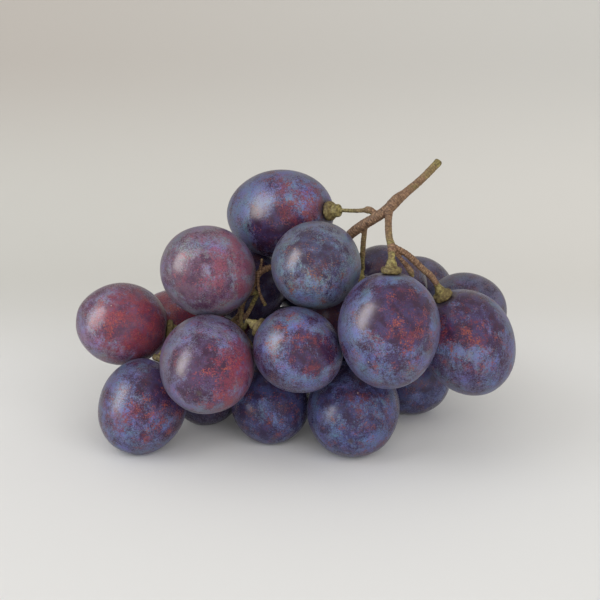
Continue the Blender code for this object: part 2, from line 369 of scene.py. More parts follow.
# %% Group: bloom
CLOUD_WEIGHT = 2.6
STREAK_WEIGHT = 0.9
GRAIN_WEIGHT = 1.7
bloom_group, source, target = new_group(
    "Bloom",
    [("Place", "Vector", None), ("Amount", "Float", 0.5)],
    [("Mask", "Float"), ("Grain", "Float")])
bend = cloud(bloom_group, source["Place"], 0.15, out="Color")
bend = vectors(bloom_group, "SUBTRACT", bend, (0.5, 0.5, 0.5))
bent = vectors(bloom_group, "ADD", source["Place"], scaled(bloom_group, bend, 6.0))
broad = minus(bloom_group, cloud(bloom_group, bent, 0.16, detail=5.0, rough=0.62), 0.5)
squeezed = vectors(bloom_group, "MULTIPLY", bent, (1.0, 1.0, 0.3))
streak = cloud(bloom_group, squeezed, 0.8, detail=3.0, rough=0.6)
grain = cloud(bloom_group, source["Place"], 2.8, detail=3.0, rough=0.75)
level = times(bloom_group, broad, CLOUD_WEIGHT)
for texture, weight in ((streak, STREAK_WEIGHT), (grain, GRAIN_WEIGHT), (source["Amount"], 1.0)):
    share = minus(bloom_group, texture, 0.5)
    level = plus(bloom_group, level, times(bloom_group, share, weight))
plug(bloom_group, target["Mask"], ease(bloom_group, level, -0.30, 0.30))
plug(bloom_group, target["Grain"], grain)
print(bloom_group.name, len(bloom_group.nodes), "nodes")

# %% [markdown]
# ## Pores
# A grape breathes through lenticels, rare pale dots with a darker ring round them. The cells of a Voronoi
# texture place them far apart, a random number in each cell drops most of them, and the distance to the
# cell's point draws first the ring and then the dot.

# %% Group: pores
pore_group, source, target = new_group(
    "Pores",
    [("Place", "Vector", None), ("Scale", "Float", 0.3), ("Share", "Float", 0.4), ("Size", "Float", 0.25)],
    [("Dot", "Float"), ("Ring", "Float")])
cells = pore_group.nodes.new("ShaderNodeTexVoronoi")
plug(pore_group, cells.inputs["Vector"], source["Place"])
plug(pore_group, cells.inputs["Scale"], source["Scale"])
chance = vectors(pore_group, "DOT_PRODUCT", cells.outputs["Color"], (1.0, 0.0, 0.0), out="Value")
kept = sums(pore_group, "LESS_THAN", chance, source["Share"])
reach = sums(pore_group, "DIVIDE", cells.outputs["Distance"], source["Scale"])
dot = ease(pore_group, reach, source["Size"], times(pore_group, source["Size"], 0.5))
ring = ease(pore_group, reach, times(pore_group, source["Size"], 3.2), source["Size"])
plug(pore_group, target["Dot"], times(pore_group, kept, dot))
plug(pore_group, target["Ring"], times(pore_group, kept, ring))
print(pore_group.name, len(pore_group.nodes), "nodes")

# %% [markdown]
# ## Grape skin
# Under the bloom the skin runs from blue black through purple to wine red, where less sun reached it. This
# group lays one finish over another: skin, bloom, wine patches where the bloom has rubbed off, dark specks,
# rust, a fine mottle over all of them, pores, and last the dull collar round the stem end and the brown
# scar at the tip. The mottle is an overlay, which lightens and darkens what is below it and so keeps every
# layer's own colour.

# %% Group: grape skin
GRAIN_TITLES = ("Patch_scale", "Grain_scale", "Patch_weight", "Grain_weight", "Softness")
WINE_GRAIN = dict(zip(GRAIN_TITLES, (0.26, 1.6, 2.2, 1.6, 0.30)))
DARK_GRAIN = dict(zip(GRAIN_TITLES, (0.22, 2.8, 1.8, 3.6, 0.16)))
RUST_GRAIN = dict(zip(GRAIN_TITLES, (0.36, 2.6, 2.8, 3.0, 0.20)))
PORE_COLOUR = (0.50, 0.38, 0.34, 1)
COLLAR_COLOUR = (0.060, 0.048, 0.040, 1)
SCAR_COLOUR = (0.070, 0.048, 0.045, 1)
skin_group, source, target = new_group(
    "Grape skin",
    [("Place", "Vector", None), ("Seed", "Float", 0.0), ("Axis", "Vector", None),
     ("Depth", "Color", None), ("Flesh", "Color", None), ("Wax", "Color", None), ("Wine", "Color", None),
     ("Rust", "Color", None), ("Bloom amount", "Float", 0.5),
     ("Wine side", "Vector", None), ("Wine width", "Float", 0.5), ("Wine amount", "Float", 0.5),
     ("Rust side", "Vector", None), ("Rust width", "Float", 0.5), ("Rust amount", "Float", 0.4),
     ("Bare side", "Vector", None), ("Bare width", "Float", 0.3), ("Bare amount", "Float", 0.4)],
    [("Color", "Color"), ("Roughness", "Float"), ("Height", "Float")])
tree = skin_group
near = scaled(tree, source["Place"], 1.0 / MM)
own = vectors(tree, "ADD", near, scaled(tree, (17.3, -9.1, 23.7), source["Seed"]))


def side_mask(title):
    """The patch for one finish, as strong as that finish's amount says."""
    mask = use_group(tree, patch_group, Place=near, Direction=source[title + " side"],
                     Width=source[title + " width"])["Mask"]
    return times(tree, mask, source[title + " amount"])


def stipple(shift, **values):
    """Stipple with its own place in the clouds, so that no two finishes share their grains."""
    return use_group(tree, stipple_group, Place=vectors(tree, "ADD", own, shift), **values)["Mask"]


wine_side, rust_side, bare_side = (side_mask(title) for title in ("Wine", "Rust", "Bare"))
skin = ease(tree, cloud(tree, own, 0.33, detail=4.0, rough=0.6), 0.38, 0.62)
skin = blend(tree, skin, source["Depth"], source["Flesh"])
bloom_left = minus(tree, source["Bloom amount"], times(tree, bare_side, 0.9))
bloom = use_group(tree, bloom_group, Place=own, Amount=bloom_left)
hue = cloud(tree, own, 0.24, detail=2.0, out="Color")
hue = blend(tree, 0.50, source["Wax"], hue, "OVERLAY")
coloured = blend(tree, bloom["Mask"], skin, hue)
wine_share = plus(tree, 0.02, times(tree, wine_side, 0.64))
wine = stipple((31.0, 5.0, 8.0), Share=wine_share, **WINE_GRAIN)
coloured = blend(tree, times(tree, wine, 0.80), coloured, source["Wine"])
dark = stipple((3.0, 41.0, 7.0), Share=0.22, **DARK_GRAIN)
coloured = blend(tree, times(tree, dark, 0.72), coloured, source["Depth"])
rust_share = plus(tree, -0.13, times(tree, rust_side, 0.33))
rust = stipple((11.0, -17.0, 29.0), Share=rust_share, **RUST_GRAIN)
ember = ease(tree, cloud(tree, own, 2.6, detail=1.0), 0.46, 0.70)
rust_colour = blend(tree, ember, source["Wine"], source["Rust"])
coloured = blend(tree, times(tree, rust, 0.85), coloured, rust_colour)
fine = cloud(tree, own, 2.2, detail=4.0, rough=0.8, out="Color")
coloured = blend(tree, 0.62, coloured, fine, "OVERLAY")
pore = use_group(tree, pore_group, Place=own, Scale=0.23, Share=0.42, Size=0.22)
coloured = blend(tree, times(tree, pore["Ring"], 0.5), coloured, source["Depth"])
coloured = blend(tree, times(tree, pore["Dot"], 0.85), coloured, PORE_COLOUR)
to_stem = vectors(tree, "DOT_PRODUCT", vectors(tree, "NORMALIZE", near), source["Axis"], out="Value")
collar = ease(tree, to_stem, 0.955, 0.985)
coloured = blend(tree, times(tree, collar, 0.7), coloured, COLLAR_COLOUR)
scar = ease(tree, to_stem, -0.9978, -0.9992)
coloured = blend(tree, times(tree, scar, 0.5), coloured, SCAR_COLOUR)
plug(tree, target["Color"], coloured)
rough = plus(tree, 0.26, times(tree, bloom["Mask"], 0.13))
rough = plus(tree, rough, times(tree, plus(tree, rust, collar), 0.10))
plug(tree, target["Roughness"], rough)
height = times(tree, bloom["Grain"], 0.6)
height = plus(tree, height, times(tree, bloom["Mask"], 0.3))
height = minus(tree, height, times(tree, plus(tree, dark, rust), 0.2))
plug(tree, target["Height"], height)
print(skin_group.name, len(skin_group.nodes), "nodes")

# %% [markdown]
# ## Where each berry shows what
# No two berries ripened alike. Seven tints, from red to slate, each give a colour to the deep skin, the
# lighter skin, the wax, the wine patches and the rust. Then a table says, for each berry, which tint it
# has, how much bloom it keeps and where it shows wine colour, rust or rubbed skin. A place on a berry is
# given as seen from the front: how far right and how far up from its middle, as a share of its radius. The
# front_side helper turns that into a direction in space. Random looks would be quicker to write, but no
# real bunch has its red berries scattered.

# %% Describe each berry
def front_side(right, up):
    """The direction of a place on a berry's front, given as shares of the berry's radius."""
    toward = math.sqrt(max(0.02, 1.0 - right * right - up * up))
    return seen_direction(right, up, toward)


RED = {"Depth": (0.078, 0.032, 0.066), "Flesh": (0.150, 0.064, 0.120), "Wax": (0.215, 0.200, 0.320),
       "Wine": (0.210, 0.034, 0.050), "Rust": (0.350, 0.085, 0.045)}
MAUVE = {"Depth": (0.072, 0.034, 0.068), "Flesh": (0.138, 0.075, 0.120), "Wax": (0.190, 0.186, 0.268),
         "Wine": (0.225, 0.060, 0.095), "Rust": (0.260, 0.070, 0.070)}
PLUM = {"Depth": (0.042, 0.017, 0.044), "Flesh": (0.076, 0.044, 0.104), "Wax": (0.165, 0.172, 0.298),
        "Wine": (0.210, 0.034, 0.060), "Rust": (0.360, 0.090, 0.045)}
VIOLET = {"Depth": (0.034, 0.014, 0.040), "Flesh": (0.052, 0.038, 0.108), "Wax": (0.115, 0.152, 0.305),
          "Wine": (0.150, 0.030, 0.044), "Rust": (0.330, 0.090, 0.040)}
BLUE = {"Depth": (0.032, 0.022, 0.056), "Flesh": (0.048, 0.056, 0.150), "Wax": (0.105, 0.142, 0.300),
        "Wine": (0.105, 0.032, 0.045), "Rust": (0.270, 0.080, 0.036)}
TEAL = {"Depth": (0.036, 0.024, 0.054), "Flesh": (0.064, 0.068, 0.138), "Wax": (0.140, 0.188, 0.290),
        "Wine": (0.120, 0.040, 0.045), "Rust": (0.330, 0.130, 0.045)}
SLATE = {"Depth": (0.028, 0.017, 0.042), "Flesh": (0.050, 0.046, 0.100), "Wax": (0.108, 0.112, 0.190),
         "Wine": (0.080, 0.032, 0.045), "Rust": (0.160, 0.065, 0.040)}

# berry: tint, bloom, wine (right, up, width, amount), rust (the same four), rubbed skin (the same four)
LOOKS = {
    "far_left": (RED, 0.55, (0.55, -0.1, 1.0, 0.9), (0.35, -0.15, 0.7, 0.95), (0.5, 0.0, 0.5, 0.5)),
    "upper_left": (MAUVE, 0.66, (0.8, 0.2, 0.55, 0.8), (0.75, 0.1, 0.3, 0.4), (-0.1, -0.2, 0.3, 0.5)),
    "top": (VIOLET, 0.72, (0.45, 0.2, 0.2, 0.7), (0.42, 0.25, 0.25, 0.8), (-0.1, -0.55, 0.4, 0.6)),
    "front_upper": (TEAL, 0.64, (-0.2, -0.6, 0.25, 0.3), (-0.35, -0.55, 0.35, 0.8), (0.1, 0.25, 0.25, 0.6)),
    "front_left": (PLUM, 0.60, (0.88, -0.25, 0.62, 0.88), (0.75, -0.3, 0.6, 0.95), (0.0, -0.05, 0.3, 0.6)),
    "front_middle": (VIOLET, 0.58, (0.3, -0.1, 0.25, 0.5), (-0.55, 0.4, 0.35, 0.95), (0.25, -0.1, 0.3, 0.6)),
    "front_right": (VIOLET, 0.56, (0.36, -0.12, 0.3, 0.4), (0.4, -0.28, 0.28, 0.88), (0.12, 0.35, 0.3, 0.9)),
    "right": (VIOLET, 0.58, (-0.2, 0.0, 0.3, 0.4), (-0.1, 0.0, 0.4, 0.66), (-0.1, 0.55, 0.35, 0.6)),
    "bottom_left": (VIOLET, 0.62, (-0.55, -0.1, 0.3, 0.4), (0.4, -0.2, 0.45, 0.9), (0.35, 0.35, 0.4, 0.5)),
    "bottom_front": (BLUE, 0.50, (0.55, 0.0, 0.25, 0.4), (0.55, -0.45, 0.5, 0.8), (-0.2, 0.45, 0.3, 0.3)),
    "bottom_middle": (BLUE, 0.30, (-0.2, -0.3, 0.3, 0.3), (-0.2, -0.35, 0.6, 0.65), (0.5, 0.5, 0.5, 0.4)),
    "bottom_inner": (SLATE, 0.30, (0.0, 0.0, 0.2, 0.2), (0.0, 0.0, 0.3, 0.1), (0.0, 0.0, 0.6, 0.5)),
    "bottom_right": (BLUE, 0.28, (0.3, 0.2, 0.3, 0.3), (0.1, -0.2, 0.3, 0.3), (0.3, 0.5, 0.5, 0.5)),
    "inner_left": (RED, 0.45, (0.2, 0.3, 0.8, 0.9), (-0.1, 0.4, 0.7, 0.95), (0.5, 0.0, 0.3, 0.5)),
    "back_upper": (SLATE, 0.45, (0.3, 0.4, 0.3, 0.4), (0.5, 0.5, 0.2, 0.5), (-0.4, 0.3, 0.5, 0.7)),
    "back_right": (SLATE, 0.45, (0.3, 0.3, 0.3, 0.3), (0.4, 0.4, 0.3, 0.3), (-0.4, 0.3, 0.5, 0.6)),
    "back_far_right": (SLATE, 0.62, (-0.3, 0.3, 0.3, 0.4), (0.0, 0.6, 0.4, 0.35), (-0.5, 0.0, 0.3, 0.4)),
    "core_low": (SLATE, 0.45, (0.0, 0.5, 0.3, 0.3), (0.0, 0.5, 0.3, 0.2), (0.0, 0.0, 0.3, 0.4)),
    "core_upper": (SLATE, 0.30, (0.0, 0.5, 0.3, 0.3), (0.0, 0.5, 0.3, 0.2), (0.0, 0.0, 0.5, 0.6)),
    "core_right": (SLATE, 0.35, (-0.4, 0.2, 0.5, 0.8), (-0.5, 0.2, 0.5, 0.9), (0.0, 0.0, 0.5, 0.6)),
    "back_left": (RED, 0.35, (0.3, 0.5, 0.9, 0.8), (0.0, 0.5, 0.3, 0.4), (0.3, 0.4, 0.6, 0.8)),
    "back_middle": (VIOLET, 0.55, (0.5, 0.3, 0.4, 0.6), (-0.3, 0.4, 0.4, 0.6), (0.3, 0.6, 0.3, 0.5)),
    "bottom_back": (BLUE, 0.52, (0.3, 0.4, 0.4, 0.5), (0.3, 0.3, 0.4, 0.5), (0.0, 0.6, 0.3, 0.5)),
}
print("looks for", len(LOOKS), "berries")

# %% [markdown]
# ## One skin material for each berry
# Each berry gets a material of its own, with the same skin group inside and its own tint, seed and places.
# Toward its edge each berry is darkened with painted shade: a Layer Weight node measures how far a point
# turns away from the eye, and mixes the deep colour in there. The bump is very low: it only breaks up the
# shine. Three berries low or deep in the bunch shine less, as they stand in its shade.

# %% Give each berry its skin
SHINE = 0.38
DULLED = {"berry_core_right": 0.03, "berry_bottom_middle": 0.22, "berry_bottom_front": 0.25}
# The rims are darkened toward each berry's deep colour: painted shade.
PAINTED_RIM_SHADE_START = 0.30
PAINTED_RIM_SHADE = 0.66
SKIN_BUMP = 0.06 * MM


def make_skin(name, number):
    tint, amount, wine, rust, bare = LOOKS[name.removeprefix("berry_")]
    material = bpy.data.materials.new(name.replace("berry", "skin"))
    material.use_nodes = True
    tree = material.node_tree
    shader = tree.nodes["Principled BSDF"]
    values = {title: (*colour, 1.0) for title, colour in tint.items()}
    for title, (right, up, width, strength) in (("Wine", wine), ("Rust", rust), ("Bare", bare)):
        values[title + "_side"] = front_side(right, up)
        values[title + "_width"] = width
        values[title + "_amount"] = strength
    place = tree.nodes.new("ShaderNodeTexCoord").outputs["Object"]
    skin = use_group(tree, skin_group, Place=place, Seed=float(number), Axis=berries[name]["axis"],
                     Bloom_amount=amount, **values)
    # Painted shade: where a point turns away from the eye, the deep colour is mixed in.
    edge = tree.nodes.new("ShaderNodeLayerWeight")
    edge.inputs["Blend"].default_value = PAINTED_RIM_SHADE_START
    painted_rim_shade_mask = times(tree, edge.outputs["Facing"], PAINTED_RIM_SHADE)
    colour_with_painted_rim_shade = blend(tree, painted_rim_shade_mask, skin["Color"], values["Depth"])
    plug(tree, shader.inputs["Base Color"], colour_with_painted_rim_shade)
    plug(tree, shader.inputs["Roughness"], skin["Roughness"])
    bump = tree.nodes.new("ShaderNodeBump")
    bump.inputs["Strength"].default_value = 0.30
    bump.inputs["Distance"].default_value = SKIN_BUMP
    plug(tree, bump.inputs["Height"], skin["Height"])
    plug(tree, shader.inputs["Normal"], bump.outputs["Normal"])
    shader.inputs["Specular IOR Level"].default_value = DULLED.get(name, SHINE)
    shader.inputs["Sheen Weight"].default_value = 0.04
    shader.inputs["Sheen Roughness"].default_value = 0.35
    shader.inputs["Sheen Tint"].default_value = (0.80, 0.80, 0.90, 1.0)
    return material


for number, name in enumerate(berry_names):
    berry_pieces[name].data.materials.append(make_skin(name, number))
print(len(berry_names), "skins made")

# %% [markdown]
# ## The stem's routes
# The stem is one grown piece: a cut peduncle, the main axis inside the bunch, side branches, spent twigs
# that lost their berries, and one stalk to each berry. Every stretch is a short list of points in
# millimetres with a radius, and a smooth curve runs through them. The stalks end on the berries that the
# frame holds.

# %% Write down the routes
# Points are x, y, z and radius. The main axis starts at the cut end, and a branch at its foot.
MAIN_AXIS = [
    (37.3, -6.5, 75.25, 0.80), (37.1, -6.6, 75.0, 1.06), (36.0, -7.0, 73.8, 1.02),
    (32.5, -8.5, 70.6, 1.04), (28.5, -10.0, 67.5, 1.16), (26.5, -10.5, 66.0, 1.48), (24.0, -11.0, 63.5, 1.44),
    (21.0, -10.5, 61.2, 1.32), (17.0, -9.0, 58.2, 1.34), (13.5, -6.0, 54.3, 1.20),
    (10.5, 0.0, 49.0, 1.05), (5.0, 1.0, 46.0, 0.90), (-1.0, -1.5, 45.5, 0.90),
    (-5.5, -4.0, 46.0, 0.85), (-9.0, -5.5, 45.0, 0.90), (-11.0, -4.8, 41.0, 0.85),
    (-13.5, -3.5, 36.5, 0.80), (-14.5, -2.5, 31.5, 0.80), (-14.5, -1.0, 26.5, 0.70),
]
BRANCHES = {
    "shoulder": [(24.5, -11.0, 63.5, 1.00), (24.0, -15.0, 61.0, 0.90),
                 (24.0, -20.0, 58.5, 0.90), (24.5, -23.0, 57.0, 1.05)],
    "lower_right": [(8.0, 0.7, 47.5, 0.90), (8.5, 7.0, 42.0, 0.80),
                    (8.5, 10.0, 35.0, 0.75), (11.5, 9.5, 26.0, 0.75),
                    (17.0, 10.0, 22.5, 0.70), (24.5, 11.5, 22.5, 0.65)],
    "lower_left": [(-14.5, -2.5, 31.0, 0.75), (-19.0, -2.0, 28.0, 0.70),
                   (-25.0, -1.0, 26.5, 0.65)],
    "spent_twig_front": [(24.5, -22.5, 57.0, 0.75), (26.5, -22.0, 54.0, 0.55),
                         (28.5, -21.5, 51.5, 0.70), (29.5, -21.5, 50.0, 0.80),
                         (30.0, -21.3, 48.6, 0.45)],
    "spent_twig_inner": [(-9.5, -6.0, 45.5, 0.60), (-9.5, -6.5, 42.5, 0.42),
                         (-9.0, -7.0, 39.5, 0.40), (-7.5, -8.0, 36.5, 0.52)],
    "spent_twig_upper": [(-9.0, -5.5, 45.5, 0.50), (-8.6, -6.5, 47.5, 0.34),
                         (-8.4, -7.2, 49.0, 0.36)],
}
# Stalks: the points that each berry's stalk passes before it reaches the berry.
STALKS = {
    "berry_top": [(21.5, -10.5, 62.0), (19.5, -9.5, 62.9), (16.5, -7.5, 62.2)],
    "berry_front_upper": [(12.3, -3.5, 52.5), (10.5, -3.0, 50.0)],
    "berry_core_right": [(18.3, -9.5, 59.0), (18.0, -8.5, 53.5), (17.8, -7.0, 48.5)],
    "berry_front_right": [(24.5, -23.0, 57.0), (24.3, -25.5, 55.5)],
    "berry_right": [(24.3, -22.5, 57.0), (28.5, -21.5, 54.5), (32.5, -20.5, 50.5),
                    (34.6, -20.3, 48.6)],
    "berry_back_upper": [(10.0, 0.5, 49.0), (11.0, 6.0, 45.0)],
    "berry_back_right": [(8.5, 4.0, 45.0), (10.0, 12.0, 43.0), (16.0, 20.0, 39.0)],
    "berry_back_middle": [(6.5, 1.0, 46.5), (6.5, 7.0, 45.5)],
    "berry_core_upper": [(4.0, 0.5, 46.0), (3.0, 3.0, 45.8)],
    "berry_core_low": [(8.5, 9.5, 36.5), (6.5, 12.0, 32.5)],
    "berry_bottom_back": [(11.0, 9.5, 27.0), (13.5, 16.0, 25.5)],
    "berry_bottom_front": [(11.5, 9.5, 26.0), (14.5, 4.0, 19.5)],
    "berry_bottom_right": [(17.0, 10.0, 22.5), (22.0, 14.5, 23.0)],
    "berry_back_far_right": [(23.0, 11.3, 22.5), (31.0, 13.5, 25.0)],
    "berry_upper_left": [(-14.2, -2.8, 32.8), (-13.0, -4.6, 32.2)],
    "berry_front_middle": [(-13.3, -4.0, 37.5), (-14.0, -10.0, 34.0),
                           (-13.0, -17.5, 33.5)],
    "berry_front_left": [(-14.3, -2.7, 32.5), (-18.0, -7.0, 30.5)],
    "berry_far_left": [(-23.0, -1.4, 27.0), (-26.5, -2.2, 27.0)],
    "berry_bottom_left": [(-23.0, -1.4, 27.0), (-28.5, -5.5, 28.5)],
    "berry_bottom_middle": [(-14.5, -1.3, 27.5), (-11.0, 1.0, 21.5)],
    "berry_bottom_inner": [(-14.5, -1.0, 27.0), (-15.8, 2.0, 23.5)],
    "berry_inner_left": [(-14.5, -2.0, 29.5), (-18.5, 4.0, 27.5)],
    "berry_back_left": [(-14.5, -1.5, 28.0), (-15.5, 9.0, 24.6), (-15.8, 20.0, 28.0)],
}
print(1 + len(BRANCHES) + len(STALKS), "stretches of stem")

# %% [markdown]
# ## Sweeping a stretch of stem
# A stretch is swept as a tube whose radius follows its route. A curve object with a bevel would sweep it
# too, but a list of rings lets the receptacle be shaped. A stalk gets more than a branch: a swollen foot
# where it leaves the branch, a thin neck, a pinched ring, and then the receptacle, the flared disc that
# carries the berry. Its profile is a list of heights above the berry with a radius for each, as if it were
# turned on a lathe. One is flared and one is blunt: the top berry has the blunt one, and a knob on its
# stalk, the scar of a lost side twig.

# %% Sweep tubes
STEM_SIDES = 20
STEM_STEP = 0.5
STALK_RADIUS = 0.62
OWN_RADII = {"berry_right": 0.84, "berry_front_right": 0.88, "berry_core_right": 0.70, "berry_top": 0.56,
             "berry_front_middle": 0.52}
# Receptacles: height above the berry's skin, and radius.
FLARED = [(3.9, 0.66), (3.3, 0.76), (3.15, 1.02), (2.95, 1.04), (2.85, 0.82), (2.7, 1.14), (2.5, 1.28),
          (1.9, 1.38), (1.45, 1.50), (1.30, 1.75), (1.20, 2.30), (1.0, 2.52), (0.35, 2.62), (-0.05, 2.55),
          (-0.40, 2.10)]
BLUNT = [(3.9, 0.60), (3.6, 0.62), (3.5, 1.50), (3.3, 1.70), (2.2, 1.74), (1.55, 1.80), (1.45, 2.20),
         (1.30, 2.45), (1.0, 2.60), (0.35, 2.64), (-0.05, 2.55), (-0.40, 2.10)]
KNOB_HEIGHT = 0.40
KNOB_PLACE = 2.9
KNOB_WIDTH = 1.1
FOOT_POINTS = 5
FOOT_SWELL = 0.22


def smooth_route(points, step=STEM_STEP):
    """Points at even steps on a smooth curve through the given ones, each with its radius."""
    route = []
    for index in range(len(points) - 1):
        before, start, end, after = (np.array(points[i], float) for i in (
            max(index - 1, 0), index, index + 1, min(index + 2, len(points) - 1)))
        count = max(1, round(np.linalg.norm(end[:3] - start[:3]) / step))
        for t in np.arange(count) / count:
            route.append(0.5 * (2 * start + (end - before) * t
                                + (2 * before - 5 * start + 4 * end - after) * t * t
                                + (3 * start - before - 3 * end + after) * t ** 3))
    route.append(np.array(points[-1], float))
    return route


def stalk_route(points, berry, radius, receptacle, knob):
    """A stalk from its foot to its berry, with the receptacle's profile at the end."""
    end = (berry["centre"] + berry["axis"] * berry["half"]) / MM
    lead = end + berry["axis"] * (receptacle[0][0] + 0.5)
    stalk = [(*point, radius) for point in points] + [(*lead, radius * 0.92)]
    route = smooth_route(stalk)
    for index in range(min(FOOT_POINTS, len(route))):
        route[index][3] += FOOT_SWELL * (1.0 - index / FOOT_POINTS)
    for index, point in enumerate(route):
        point[3] += knob * math.exp(-((index * STEM_STEP - KNOB_PLACE) / KNOB_WIDTH) ** 4)
    neck = len(route)
    for height, wide in receptacle:
        wide = max(wide, radius)
        route.append(np.array((*(end + berry["axis"] * height), wide)))
    return route, neck


def sweep(shape, route):
    """Add a closed tube along the route to a bmesh."""
    places = [Vector(point[:3]) for point in route]
    side_way = None
    rings = []
    for index, point in enumerate(route):
        forward = (places[min(index + 1, len(places) - 1)] - places[max(index - 1, 0)]).normalized()
        side_way = side_way or forward.orthogonal().normalized()
        side_way = (side_way - forward * side_way.dot(forward)).normalized()
        up_way = forward.cross(side_way)
        rings.append([shape.verts.new((places[index] + (
            side_way * math.cos(spin) + up_way * math.sin(spin)) * point[3]) * MM)
            for spin in np.linspace(0, 2 * math.pi, STEM_SIDES, endpoint=False)])
    for ring, following in zip(rings, rings[1:]):
        for side in range(STEM_SIDES):
            after = (side + 1) % STEM_SIDES
            shape.faces.new((ring[side], ring[after], following[after], following[side]))
    shape.faces.new(list(reversed(rings[0])))
    shape.faces.new(rings[-1])


shape = bmesh.new()
stretches = {"main_axis": (smooth_route(MAIN_AXIS), None)}
for name, points in BRANCHES.items():
    stretches[name] = (smooth_route(points), None)
for name, points in STALKS.items():
    receptacle, knob = (BLUNT, KNOB_HEIGHT) if name == "berry_top" else (FLARED, 0.0)
    radius = OWN_RADII.get(name, STALK_RADIUS)
    stretches["stalk_" + name] = stalk_route(points, berries[name], radius, receptacle, knob)
for route, neck in stretches.values():
    sweep(shape, route)
print("swept", len(shape.faces), "faces")

# %% [markdown]
# ## Growing the stretches together
# Tubes pushed into each other show hard seams where a real twig has a smooth crotch. A voxel remesh melts
# them into one skin, as fine as its voxels, and a few rounds of smoothing fill the crotches. Fine bark
# detail is added after, because the remesh would blur it.

# %% Fuse the stem
VOXEL = 0.16 * MM
stem_data = bpy.data.meshes.new("stem_twigs")
shape.to_mesh(stem_data)
shape.free()
stem_piece = bpy.data.objects.new("stem_twigs", stem_data)
bpy.context.scene.collection.objects.link(stem_piece)
remesh = stem_piece.modifiers.new("fuse", "REMESH")
remesh.mode = "VOXEL"
remesh.voxel_size = VOXEL
settle = stem_piece.modifiers.new("soften", "SMOOTH")
settle.iterations = 2
settle.factor = 0.5
bpy.context.view_layer.update()
fused = bpy.data.meshes.new_from_object(stem_piece.evaluated_get(bpy.context.evaluated_depsgraph_get()))
stem_piece.modifiers.clear()
stem_piece.data = fused
print("the fused stem has", len(fused.polygons), "faces")

# %% [markdown]
# ## Where on the stem each point lies
# Bark and colour change along a stem, so each point of the fused skin has to know its place. It looks up
# the nearest point of the routes, which says how far along the twig it lies, which way the twig runs there,
# how thick and how green it is, and whether it is on a receptacle's rim. Painting this by hand would be
# lost at the next remesh.

# %% Look up where on the stem each point lies
# The columns of a table row, how many points are green at the cut end, and how many make a rim.
PLACE, FORWARD, ALONG, RADIUS, GREEN, RIM = slice(0, 3), slice(3, 6), 6, 7, 8, 9
CUT_POINTS = 4
RIM_POINTS = 7


def greenness(name, index, length, neck):
    """How green a route point is. Length runs from 0 at the foot to 1. The right berry's stalk is woody."""
    if name == "stalk_berry_right" and index < neck:
        return 0.2
    if name.startswith("stalk"):
        return min(1.0, 0.25 + 1.1 * length)
    if name.startswith("spent"):
        return 0.1 + 0.7 * length ** 3
    if name == "main_axis":
        return 0.9 if index < CUT_POINTS else max(0.0, 0.62 - 2.2 * length)
    return 0.75 * length if name == "shoulder" else 0.0


def route_table():
    """All route points: place, forward direction, distance along, radius, greenness and rim."""
    rows = []
    for name, (route, neck) in stretches.items():
        along = 0.0
        for index, point in enumerate(route):
            ahead = route[min(index + 1, len(route) - 1)][:3]
            behind = route[max(index - 1, 0)][:3]
            forward = (ahead - behind) / max(np.linalg.norm(ahead - behind), 1e-6)
            along += np.linalg.norm(point[:3] - behind) if index else 0.0
            green = greenness(name, index, index / len(route), neck)
            rim = float(name.startswith("stalk") and index >= len(route) - RIM_POINTS)
            rows.append((*point[:3], *forward, along, point[3], green, rim))
    return np.array(rows)


rows = route_table()
tree_of_rows = kdtree.KDTree(len(rows))
for index, row in enumerate(rows):
    tree_of_rows.insert(row[PLACE], index)
tree_of_rows.balance()
count = len(fused.vertices)
points = np.zeros(count * 3)
normals = np.zeros(count * 3)
fused.vertices.foreach_get("co", points)
fused.vertex_normals.foreach_get("vector", normals)
points = points.reshape(-1, 3) / MM
normals = normals.reshape(-1, 3)
nearest = np.array([tree_of_rows.find(point)[1] for point in points])
found = rows[nearest]
along = found[:, ALONG] + ((points - found[:, PLACE]) * found[:, FORWARD]).sum(1)
along += 3.0 * found[:, RADIUS]
print(count, "points looked up in", len(rows), "route points")

# %% [markdown]
# ## Bark
# Fine furrows run along a twig and wrinkles run round it, and both are faint where it is still green. The
# furrows are noise stretched along the twig, the wrinkles are waves in the distance along it, bent by
# noise, and slow lumps keep its thickness uneven. The points are really moved, since a bump alone would
# leave the outline smooth. The mesh keeps the values that the colours need.

# %% Carve the bark
FURROW = 0.070
FURROW_STRETCH = 0.82
WRINKLE = 0.060
WRINKLE_TURNS = 6.5
LUMP = 0.055
height = np.zeros(count)
for index in range(count):
    place = Vector(points[index])
    forward = Vector(found[index, FORWARD])
    flow = place - forward * (FURROW_STRETCH * place.dot(forward))
    furrow = noise.noise(flow * 3.4)
    wrinkle = math.sin(along[index] * WRINKLE_TURNS + 2.5 * noise.noise(place * 1.4))
    wrinkle *= 0.5 + 0.5 * noise.noise(place * 0.7)
    lump = noise.noise(place * 1.1) * (1.0 + 0.8 * found[index, RIM])
    woody = 1.0 - 0.65 * found[index, GREEN]
    height[index] = woody * (FURROW * furrow + WRINKLE * wrinkle) + LUMP * lump
points += normals * height[:, None]
fused.vertices.foreach_set("co", (points * MM).ravel())
stored_values = {"green": found[:, GREEN], "rim": found[:, RIM], "carving": height, "along": along}
for title, values in stored_values.items():
    layer = fused.attributes.new(title, "FLOAT", "POINT")
    layer.data.foreach_set("value", values.astype(np.float32))
fused.update()
fused.shade_smooth()
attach(stem_piece, "root")
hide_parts("stem")
print("bark carved from", round(height.min(), 3), "to", round(height.max(), 3), "mm")
